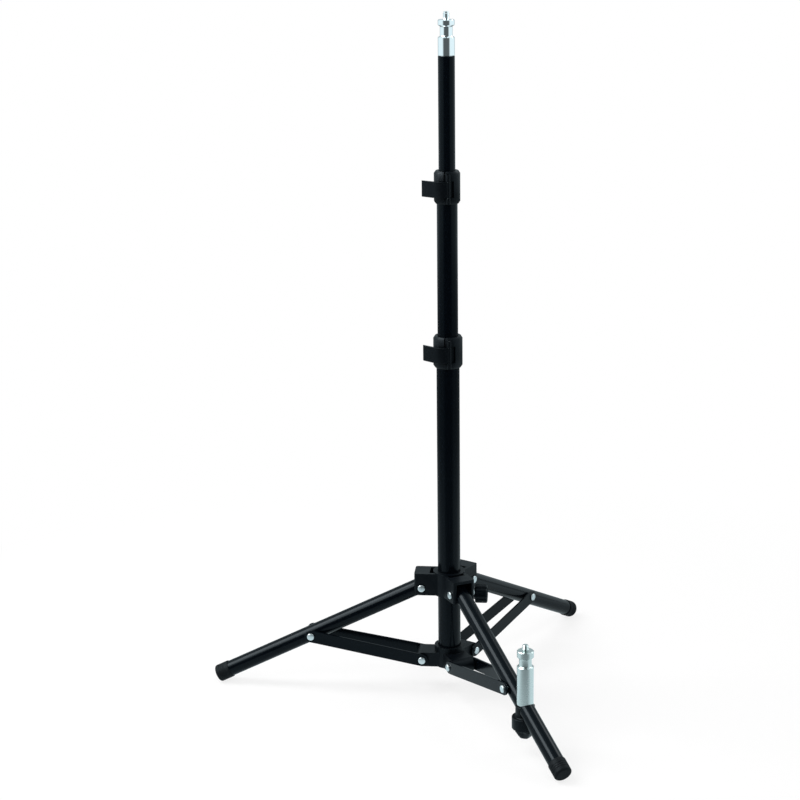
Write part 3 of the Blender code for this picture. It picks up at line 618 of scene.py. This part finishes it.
def build_clamp(name, facts):
    outer, held = facts["outer"], facts["held"]
    pin_at = outer + PIN_PROUD
    at_pin = Matrix.Translation((pin_at, 0, 0))
    upright = AT_COLUMN @ Matrix.Translation((0, 0, facts["bottom"]))
    place = upright @ about_column(PIN_AZIMUTH)
    lever_bottom = CLAMP_INSERT + 3 * GAP
    lever_top = lever_bottom + LEVER_HEIGHT
    boss_bottom, boss_top = CLAMP_CHAMFER[1] / 2, CLAMP_HEIGHT - CLAMP_CHAMFER[1]
    pocket_start, pocket_end = map(math.radians, POCKET)
    pocket = arc((0, 0), outer + 6 * OVERCUT, pocket_start, pocket_end, steps=8)
    pocket += arc((0, 0), outer - LEVER_DEPTH, pocket_end, pocket_start, steps=24)
    split = box(held / 2, outer + 2 * OVERCUT, -SPLIT_WIDTH / 2, SPLIT_WIDTH / 2,
                lever_bottom + OVERCUT, CLAMP_HEIGHT + OVERCUT)
    pin_hole_r = PIN_R + SLIP_ROOM
    body = carved(turned(clamp_section(outer, held, facts["carrier"]), closed=True), [
        added(moved(cylinder(KNUCKLE_R, boss_bottom, boss_top), at_pin)),
        cut(prism(pocket, lever_bottom - GAP, lever_top + GAP)),
        cut(moved(cylinder(pin_hole_r, -OVERCUT, CLAMP_HEIGHT, PIN_HOLE_SIDES), at_pin)),
        cut(moved(split, about_column(SPLIT_ANGLE)))])
    piece(name + "_body", body, "black_plastic", facts["body"], place, bevel=0.0003)

    blank = moved(prism(lever_outline(outer, pin_at), lever_bottom, lever_top), at_pin.inverted())
    lever = carved(blank, [cut(cylinder(pin_hole_r, 0, CLAMP_HEIGHT, PIN_HOLE_SIDES))])
    piece(name + "_lever", lever, "black_plastic", facts["lever"], place @ at_pin, bevel=0.0005)
    pin_bottom, pin_top = boss_bottom + GAP, boss_top - GAP
    pin = turned([(PIN_R - PIN_EDGE, pin_bottom), (PIN_R, pin_bottom + PIN_EDGE),
                  (PIN_R, pin_top - PIN_EDGE), (PIN_R - PIN_EDGE, pin_top)], HOLE_SIDES)
    piece(name + "_pin", pin, "bright_steel", facts["lever"], place @ at_pin)
    paint_node(name + "_liner", "black_plastic")


# Leg spider
def head(seat):
    """Half of a pan head above its seat: a round edge, then nearly flat, as (radius, height)."""
    edge = HEAD_EDGE
    crown = seat + (BOLT_HEAD_HEIGHT - edge * HEAD_EDGE_DROP)
    side = [(BOLT_HEAD_R, seat), (BOLT_HEAD_R, crown)]
    side += arc((BOLT_HEAD_R - edge, crown), edge, 0, HEAD_EDGE_TURN, steps=6)[1:]
    return side + [(BOLT_HEAD_R * HEAD_FLAT_SHARE, seat + BOLT_HEAD_HEIGHT - edge * HEAD_FLAT_DROP),
                   (HEAD_POINT_R, seat + BOLT_HEAD_HEIGHT)]


def headed_pin(half_span):
    seat = half_span + GAP
    side = [(BOLT_R, seat)] + head(seat)
    return turned([(r, -z) for r, z in reversed(side)] + side, PIN_SIDES)


def bolt_hole_cuts():
    return [cut(moved(drill(BOLT_R + HOLE_ROOM, ARM_DRILL), turn @ BOLT_WAY))
            for turn in ARM_TURNS.values()]


def collar_star():
    """Three arms with round corners, from above."""
    notch = ARM_HALF_WIDTH / math.sin(math.radians(60))
    side, end = ARM_HALF_WIDTH - ARM_CORNER, ARM_END_R - ARM_CORNER
    arm = [polar(notch, -60)]
    arm += arc((end, -side), ARM_CORNER, -math.pi / 2, 0, steps=8)
    arm += arc((end, side), ARM_CORNER, 0, math.pi / 2, steps=8)
    corners = [turn @ Vector((x, y, 0)) for turn in ARM_TURNS.values() for x, y in arm]
    return [(corner.x, corner.y) for corner in corners]


def build_leg_collar():
    top, bottom = COLLAR_TOP + OVERCUT, -LUG_BELOW - OVERCUT
    web, far = COLLAR_TOP - FORK_WEB, ARM_END_R + 2 * OVERCUT
    fork = [(ARM_ROOT_R, bottom), (far, bottom), (far, web),
            (FORK_WEB_R, web), (FORK_WEB_R, top), (ARM_ROOT_R, top)]
    to_knob = about_column(KNOB_AZIMUTH)
    to_screw = to_knob @ Matrix.Translation((0, 0, -KNOB_DROP)) @ ALONG_X
    shoulder = box(BOSS_ROOT, BOSS_FACE, -BOSS_R, BOSS_R, -KNOB_DROP, BOSS_SHOULDER)
    screw_way = cylinder(SCREW_R + HOLE_ROOM, ARM_ROOT_R, BOSS_FACE + 2 * OVERCUT, HOLE_SIDES)
    steps = [cut(moved(prism(fork, -FORK_HALF_GAP, FORK_HALF_GAP), turn @ STAND_UP))
             for turn in ARM_TURNS.values()]
    steps += [added(cylinder(COLLAR_HUB_R, -LUG_BELOW - HUB_PROUD, COLLAR_TOP + HUB_PROUD,
                             TUBE_SIDES)),
              added(moved(cylinder(BOSS_R, BOSS_ROOT, BOSS_FACE), to_screw)),
              added(moved(shoulder, to_knob)),
              cut(drill(BASE_TUBE_R + GAP, BORE_DRILL, TUBE_SIDES)),
              cut(moved(screw_way, to_screw))]
    body = carved(prism(collar_star(), -LUG_BELOW, COLLAR_TOP), steps + bolt_hole_cuts())
    place = AT_COLUMN @ Matrix.Translation((0, 0, PIVOT.z))
    piece("leg_collar", body, "black_plastic", "collar", place, bevel=0.0005)
    for side, turn in ARM_TURNS.items():
        piece(side + "_leg_bolt", headed_pin(ARM_HALF_WIDTH), "bright_steel", "collar",
              place @ turn @ BOLT_WAY)


def build_lock_knob():
    at_screw = AT_COLUMN @ Matrix.Translation((0, 0, PIVOT.z - KNOB_DROP))
    place = at_screw @ about_column(KNOB_AZIMUTH) @ ALONG_X
    hub, rim, dish_wall, dish_floor = (KNOB_R * share for share in KNOB_SHARES)
    near, far, dish = KNOB_NEAR_ROUND, KNOB_FAR_ROUND, KNOB_FAR - KNOB_DISH
    near_edge = arc((KNOB_R - near, KNOB_NEAR + near), near, -math.pi / 2, 0, steps=5)
    far_edge = arc((KNOB_R - far, KNOB_FAR - far), far, 0, math.pi / 2, steps=5)
    grip = [(hub, KNOB_NEAR - KNOB_HUB_LENGTH, 0), (hub, KNOB_NEAR, 0),
            (KNOB_R - KNOB_NEAR_CORNER, KNOB_NEAR, 1)]
    grip += [(r, z, 1) for r, z in near_edge + far_edge]
    grip += [(rim, KNOB_FAR, 0.4), (dish_wall, dish, 0), (dish_floor, dish, 0)]
    screw_way = cylinder(SCREW_R + HOLE_ROOM, KNOB_NEAR - 3 * OVERCUT, KNOB_FAR - KNOB_BLIND_END,
                         HOLE_SIDES)
    knob = carved(fluted(grip, KNOB_FLUTES, FLUTE_DEPTH), [cut(screw_way)])
    piece("collar_lock_knob", knob, "black_plastic", "lock_knob", place)
    paint_node("collar_lock_screw", "bright_steel")
    paint_node("collar_lock_pad", "black_plastic")


def build_strut_collar():
    lug = [(ARM_ROOT_R, LUG_BELOW), (ARM_ROOT_R, -LUG_BELOW)]
    lug += arc((PIVOT_R, 0), LUG_BELOW, -math.pi / 2, math.pi / 2, steps=28)
    steps = [added(moved(prism(lug, -ARM_HALF_WIDTH, ARM_HALF_WIDTH), turn @ STAND_UP))
             for turn in ARM_TURNS.values()]
    steps += [cut(drill(BASE_TUBE_R + GAP, BORE_DRILL, TUBE_SIDES))] + bolt_hole_cuts()
    hub = cylinder(STRUT_HUB_R, -LUG_BELOW - HUB_PROUD, STRUT_HUB_TOP, TUBE_SIDES)
    place = AT_COLUMN @ Matrix.Translation((0, 0, LUG.z))
    piece("strut_collar", carved(hub, steps), "black_plastic", "base", place, bevel=0.0005)
    for side, turn in ARM_TURNS.items():
        piece(side + "_strut_bolt", headed_pin(BAR_AT_LUG + BAR_THICKNESS), "bright_steel",
              "base", place @ turn @ BOLT_WAY)


def foot_cap():
    start = LEG_REACH - CAP_LENGTH
    inner = LEG_TUBE_R + CAP_ROOM
    profile = [(inner, LEG_REACH - CAP_END_WALL), (inner, start)]
    profile += [(CAP_R - in_by, start + up) for in_by, up in CAP_MOUTH]
    depth = GROOVE_DEPTH
    for i in range(CAP_GROOVES):
        groove = start + GROOVES_FROM_MOUTH + i * GROOVE_PITCH
        profile += [(CAP_R, groove), (CAP_R - depth, groove + depth),
                    (CAP_R - depth, groove + 2 * depth), (CAP_R, groove + 3 * depth)]
    corner = arc((CAP_R - CAP_ROUND, LEG_REACH - CAP_ROUND), CAP_ROUND, 0, math.pi / 2, steps=8)
    return turned(profile + corner, LEG_SIDES)


def build_leg(side):
    pivot = AT_COLUMN @ ARM_TURNS[side] @ Matrix.Translation((PIVOT_R, 0, PIVOT.z))
    down_leg = pivot @ Matrix.Rotation(LEG_SLOPE, 4, "Y")
    tube_place = down_leg @ ALONG_X
    body = side + "_leg"
    upright = Matrix.Rotation(-LEG_SLOPE, 4, "Y")
    cuts = [cut(moved(drill(BOLT_R + HOLE_ROOM, LEG_DRILL), ALONG_X.inverted() @ ALONG_Y))]
    if side == "front":
        to_spigot = ALONG_X.inverted() @ Matrix.Translation((LEG_SPIGOT_AT, 0, 0)) @ upright
        cuts.append(cut(moved(drill(SCREW_R + HOLE_ROOM, SCREW_DRILL), to_spigot)))
    section = tube_section(LEG_TUBE_R, LEG_INNER_END, LEG_REACH - CAP_END_WALL - GAP)
    tube = carved(turned(section, LEG_SIDES, closed=True), cuts)
    piece(side + "_leg_tube", tube, "black_paint", body, tube_place)
    wide = FLOOR_CUT_HALF
    below_floor = box(-wide, wide, -wide, wide, -FLOOR_CUT_DEPTH, 0)
    cap = carved(foot_cap(), [cut(moved(below_floor, tube_place.inverted()))])
    piece(side + "_foot_cap", cap, "black_rubber", body, tube_place)
    paint_node(side + "_leg_sleeve", "bright_steel")
    paint_node(side + "_leg_plug", "black_plastic")
    if side == "front":
        build_leg_spigot(down_leg @ Matrix.Translation((LEG_SPIGOT_AT, 0, 0)) @ upright)


def strut_bar(outward):
    """A cranked strip along +X, with a row of cuts in each bend so that it curves."""
    half = BAR_WIDTH / 2
    outline = arc((0, 0), half, math.pi / 2, 3 * math.pi / 2, BAR_END_STEPS)
    outline += arc((STRUT_LENGTH, 0), half, -math.pi / 2, math.pi / 2, BAR_END_STEPS)
    bm = prism(outline, 0, BAR_THICKNESS)
    for bend in (BAR_FLAT, STRUT_LENGTH - BAR_FLAT):
        for step in BEND_CUTS:
            bmesh.ops.bisect_plane(bm, geom=bm.verts[:] + bm.edges[:] + bm.faces[:],
                                   plane_co=(bend + step, 0, 0), plane_no=(1, 0, 0))
    span = STRUT_LENGTH - 2 * BAR_FLAT
    for vert in bm.verts:
        share = min(max((vert.co.x - BAR_FLAT) / span, 0), 1)
        offset = BAR_AT_LUG + (BAR_AT_LEG - BAR_AT_LUG) * share + vert.co.z
        vert.co = Vector((vert.co.x, outward * offset, vert.co.y))
    bmesh.ops.recalc_face_normals(bm, faces=bm.faces)
    return bm


def build_struts(side):
    lug = AT_COLUMN @ ARM_TURNS[side] @ Matrix.Translation((PIVOT_R, 0, LUG.z))
    place = lug @ Matrix.Rotation(-STRUT_SLOPE, 4, "Y")
    to_leg = Matrix.Translation((STRUT_LENGTH, 0, 0))
    body = side + "_struts"
    outer_face = BAR_AT_LEG + BAR_THICKNESS + GAP
    for hand, outward in (("a", 1), ("b", -1)):
        bar = carved(strut_bar(outward), [
            cut(moved(drill(BOLT_R + HOLE_ROOM, BAR_DRILL), ALONG_Y)),
            cut(moved(drill(RIVET_R + HOLE_ROOM, BAR_DRILL), to_leg @ ALONG_Y))])
        piece(f"{side}_strut_bar_{hand}", bar, "black_paint", body, place, bevel=0.0004)
        rivet = [(RIVET_R, BAR_AT_LEG), (RIVET_R, outer_face)] + head(outer_face)
        to_side = to_leg @ Matrix.Rotation(-outward * math.pi / 2, 4, "X")
        piece(f"{side}_strut_rivet_{hand}", turned(rivet, PIN_SIDES), "bright_steel", body,
              place @ to_side)


def build_leg_spigot(upright):
    """Spigot, saddle and knob, in the upright frame where the spigot crosses the leg."""
    slope = Matrix.Rotation(LEG_SLOPE, 4, "Y")
    hole = SCREW_R + HOLE_ROOM
    to_leg = Matrix.Translation((0, 0, -SPIGOT_SEAT)) @ slope @ ALONG_X
    spigot = carved(turned(spigot_profile(LEG_SPIGOT)), [
        cut(moved(drill(LEG_TUBE_R + GAP, LEG_WAY, LEG_SIDES), to_leg)),
        cut(cylinder(hole, -2 * OVERCUT, SPIGOT_SCREW_TOP, HOLE_SIDES))])
    piece("leg_spigot", spigot, "satin_alloy", "front_leg",
          upright @ Matrix.Translation((0, 0, SPIGOT_SEAT)))

    edge = SADDLE_EDGE
    rim = SADDLE_FLANGE_R - edge
    profile = [(rim, SADDLE_BOTTOM)]
    profile += arc((rim, SADDLE_BOTTOM + edge), edge, -math.pi / 2, 0, steps=4)
    profile += arc((rim, SADDLE_FLANGE_TOP - edge), edge, 0, math.pi / 2, steps=4)
    profile += [(SADDLE_NECK_R + SADDLE_NECK_ROOT, SADDLE_FLANGE_TOP),
                (SADDLE_NECK_R, SADDLE_FLANGE_TOP + SADDLE_NECK_ROOT),
                (SADDLE_NECK_R, SADDLE_NECK_TOP - SADDLE_NECK_EDGE),
                (SADDLE_NECK_R - SADDLE_NECK_EDGE, SADDLE_NECK_TOP)]
    screw_way = cylinder(hole, SADDLE_BOTTOM - 2 * OVERCUT, SADDLE_NECK_TOP + 2 * OVERCUT,
                         HOLE_SIDES)
    saddle = carved(turned(profile), [
        cut(moved(drill(LEG_TUBE_R + GAP, LEG_WAY, LEG_SIDES), slope @ ALONG_X)),
        cut(screw_way)])
    piece("spigot_saddle", saddle, "black_plastic", "front_leg", upright)

    top = SADDLE_BOTTOM - GAP
    span = top - LEG_KNOB_BOTTOM
    dome = [(LEG_KNOB_R * across, LEG_KNOB_BOTTOM + span * up, strength)
            for across, up, strength in LEG_KNOB_SWELL]
    dome += [(LEG_KNOB_R - in_by, top - down, 1) for in_by, down in LEG_KNOB_EDGE]
    lobed = fluted(dome, LEG_KNOB_LOBES, LOBE_DEPTH, points_per_flute=20, narrowness=2)
    knob = carved(moved(lobed, about_column(LEG_KNOB_TURN)), [
        cut(cylinder(hole, LEG_KNOB_BOTTOM + KNOB_BLIND_END, 0, HOLE_SIDES))])
    piece("spigot_knob", knob, "black_plastic", "leg_knob", upright)
    paint_node("spigot_screw", "bright_steel")


# Studio
TOWARDS_CAMERA = about_column(math.radians(-115.6)) @ Vector((1, 0, 0))
# Brightness in reflections: at the sides, behind, and on the camera's side
SIDE_GLOW, BACK_GLOW, FRONT_GLOW = 1.0, 0.6, 0.11
# Between which shares of facing the camera, or facing away, that brightness changes
FRONT_WEDGE, BACK_WEDGE = (0.60, 0.82), (-0.62, -0.85)
COOL_WHITE = (0.80, 0.95, 1.0)
AROUND_GLOW = 0.35
FLOOR_HALF, FLOOR_DEPTH, FLOOR_GAP = 6, 0.02, 0.0002
FLOOR_GREY = (0.88, 0.88, 0.88, 1)
# The camera sees the floor white, less so near the feet, where the shadow lies
SHADOW_RING, SHADOW_WHITENESS = (0.22, 0.75), 0.78
# In reflections the floor is dimmer in between: the ring where it dims and the one where it ends
DIM_RING, BRIGHT_RING, MIDDLE_FLOOR_GLOW = (0.45, 0.90), (2.05, 2.35), 0.30
# How strong the dim wedge in front is on the floor, by the distance from the stand
WEDGE_START, WEDGE_START_SHARE = (0.05, 0.35), 0.82
WEDGE_FAR, WEDGE_FAR_SHARE = (0.5, 1.8), 1.22
LAMPS_AIM_HEIGHT = 0.20
# Softboxes: azimuth, elevation, distance, width, length, power, lights surfaces, shows in gloss
SOFTBOXES = {"left_softbox": (142, 50, 1.7, 0.7, 1.3, 24, True, False),
             "left_fill": (-168, 36, 1.9, 0.8, 0.8, 8, True, False),
             "right_softbox": (5, 40, 1.9, 0.7, 0.9, 8, True, True),
             "front_fill": (-95, 40, 2.2, 1.2, 0.8, 11, True, False),
             "left_sheen": (157, 44, 1.7, 0.75, 1.0, 21, False, True),
             "left_fill_sheen": (-168, 40, 1.9, 1.2, 0.9, 22, False, True)}


def reflected_studio(tree, direction, near_front=None):
    """Brightness by the level direction from the stand: a dim wedge in front, softer behind."""
    level = vector_maths(tree, "MULTIPLY", direction, (1, 1, 0))
    unit = vector_maths(tree, "NORMALIZE", level)
    facing = vector_maths(tree, "DOT_PRODUCT", unit, TOWARDS_CAMERA)
    sides = spread(tree, facing, BACK_WEDGE[1], BACK_WEDGE[0], BACK_GLOW, SIDE_GLOW)
    wedge = spread(tree, facing, *FRONT_WEDGE)
    if near_front is not None:
        wedge = maths(tree, "MULTIPLY", wedge, near_front)
    dimmed = spread(tree, wedge, 0.0, 1.0, 1.0, FRONT_GLOW / SIDE_GLOW)
    return maths(tree, "MULTIPLY", sides, dimmed)


def floor_material():
    """A pale floor that the camera sees white, with the stand's shadow left near its feet."""
    mat, tree, shader = finish("pale_floor")
    shader.inputs["Base Color"].default_value = FLOOR_GREY
    shader.inputs["Roughness"].default_value = 0.9
    shader.inputs["Specular IOR Level"].default_value = 0.1
    place = tree.nodes.new("ShaderNodeTexCoord").outputs["Object"]
    path = tree.nodes.new("ShaderNodeLightPath")
    by_camera, by_gloss = path.outputs["Is Camera Ray"], path.outputs["Is Glossy Ray"]
    radius = vector_maths(tree, "LENGTH", place)
    whiteness = spread(tree, radius, *SHADOW_RING, SHADOW_WHITENESS, 1.0)
    share = maths(tree, "MAXIMUM", maths(tree, "MULTIPLY", by_camera, whiteness), by_gloss)
    ahead = vector_maths(tree, "DOT_PRODUCT", place, TOWARDS_CAMERA)
    near = maths(tree, "MULTIPLY", spread(tree, ahead, *WEDGE_START, 0.0, WEDGE_START_SHARE),
                 spread(tree, ahead, *WEDGE_FAR, 1.0, WEDGE_FAR_SHARE))
    middle = maths(tree, "MAXIMUM", spread(tree, radius, *DIM_RING, 1.0, MIDDLE_FLOOR_GLOW),
                   spread(tree, radius, *BRIGHT_RING, MIDDLE_FLOOR_GLOW, 1.0))
    mirrored = maths(tree, "MULTIPLY", reflected_studio(tree, place, near), middle)
    white = tree.nodes.new("ShaderNodeEmission")
    tree.links.new(maths(tree, "MAXIMUM", by_camera, mirrored), white.inputs["Strength"])
    tree.links.new(blended(tree, by_gloss, (1, 1, 1), COOL_WHITE), white.inputs["Color"])
    mix = tree.nodes.new("ShaderNodeMixShader")
    tree.links.new(share, mix.inputs["Fac"])
    tree.links.new(shader.outputs["BSDF"], mix.inputs[1])
    tree.links.new(white.outputs["Emission"], mix.inputs[2])
    tree.links.new(mix.outputs["Shader"], tree.nodes["Material Output"].inputs["Surface"])
    return mat


def build_world():
    """White where the camera looks, a white backdrop in reflections, soft light on surfaces."""
    world = bpy.data.worlds.new("studio")
    bpy.context.scene.world = world
    world.use_nodes = True
    tree = world.node_tree
    path = tree.nodes.new("ShaderNodeLightPath")
    by_gloss = path.outputs["Is Glossy Ray"]
    ray = tree.nodes.new("ShaderNodeTexCoord").outputs["Generated"]
    seen = maths(tree, "MAXIMUM", path.outputs["Is Camera Ray"],
                 path.outputs["Is Transmission Ray"])
    mirrored = maths(tree, "MULTIPLY", by_gloss, reflected_studio(tree, ray))
    soft = maths(tree, "MULTIPLY", path.outputs["Is Diffuse Ray"], AROUND_GLOW)
    strength = maths(tree, "MAXIMUM", maths(tree, "MAXIMUM", seen, mirrored), soft)
    background = tree.nodes["Background"]
    tree.links.new(blended(tree, by_gloss, (1, 1, 1), COOL_WHITE), background.inputs["Color"])
    tree.links.new(strength, background.inputs["Strength"])


def build_softbox(name, azimuth, elevation, distance, width, length, power, lights, shows):
    lamp = bpy.data.lights.new(name, "AREA")
    lamp.shape = "RECTANGLE"
    lamp.size, lamp.size_y = width, length
    lamp.energy = power
    obj = bpy.data.objects.new(name, lamp)
    bpy.context.scene.collection.objects.link(obj)
    obj.visible_diffuse, obj.visible_glossy = lights, shows
    target = Vector((COLUMN.x, COLUMN.y, LAMPS_AIM_HEIGHT))
    raised = Matrix.Rotation(-math.radians(elevation), 4, "Y")
    aim = about_column(math.radians(azimuth)) @ raised
    obj.location = target + aim @ Vector((distance, 0, 0))
    obj.rotation_euler = (target - obj.location).to_track_quat("-Z", "Y").to_euler()


def build_studio():
    floor = mesh_object("floor", box(-FLOOR_HALF, FLOOR_HALF, -FLOOR_HALF, FLOOR_HALF,
                                     -FLOOR_DEPTH, -FLOOR_GAP))
    floor.data.materials.append(floor_material())
    build_world()
    for name, settings in SOFTBOXES.items():
        build_softbox(name, *settings)


def build_camera():
    """The photograph's viewpoint, measured from the foot of the column."""
    turn, pitch, roll = math.radians(-24.157), math.radians(15.231), math.radians(-0.694)
    away = about_column(turn) @ Vector((-0.04717, -1.83187, 0.80223))
    data = bpy.data.cameras.new("photo_camera")
    data.sensor_width = 36
    data.lens = 87.275
    camera = bpy.data.objects.new("photo_camera", data)
    bpy.context.scene.collection.objects.link(camera)
    tilt = Matrix.Rotation(math.pi / 2 - pitch, 4, "X") @ Matrix.Rotation(roll, 4, "Z")
    camera.matrix_world = AT_COLUMN @ Matrix.Translation(away) @ about_column(turn) @ tilt
    bpy.context.scene.camera = camera


build_column()
for clamp_name, clamp_facts in CLAMPS.items():
    build_clamp(clamp_name, clamp_facts)
build_leg_collar()
build_lock_knob()
build_strut_collar()
for leg_side in LEG_AZIMUTHS:
    build_leg(leg_side)
    build_struts(leg_side)
build_studio()
build_camera()
bpy.context.scene.view_settings.view_transform = "Standard"
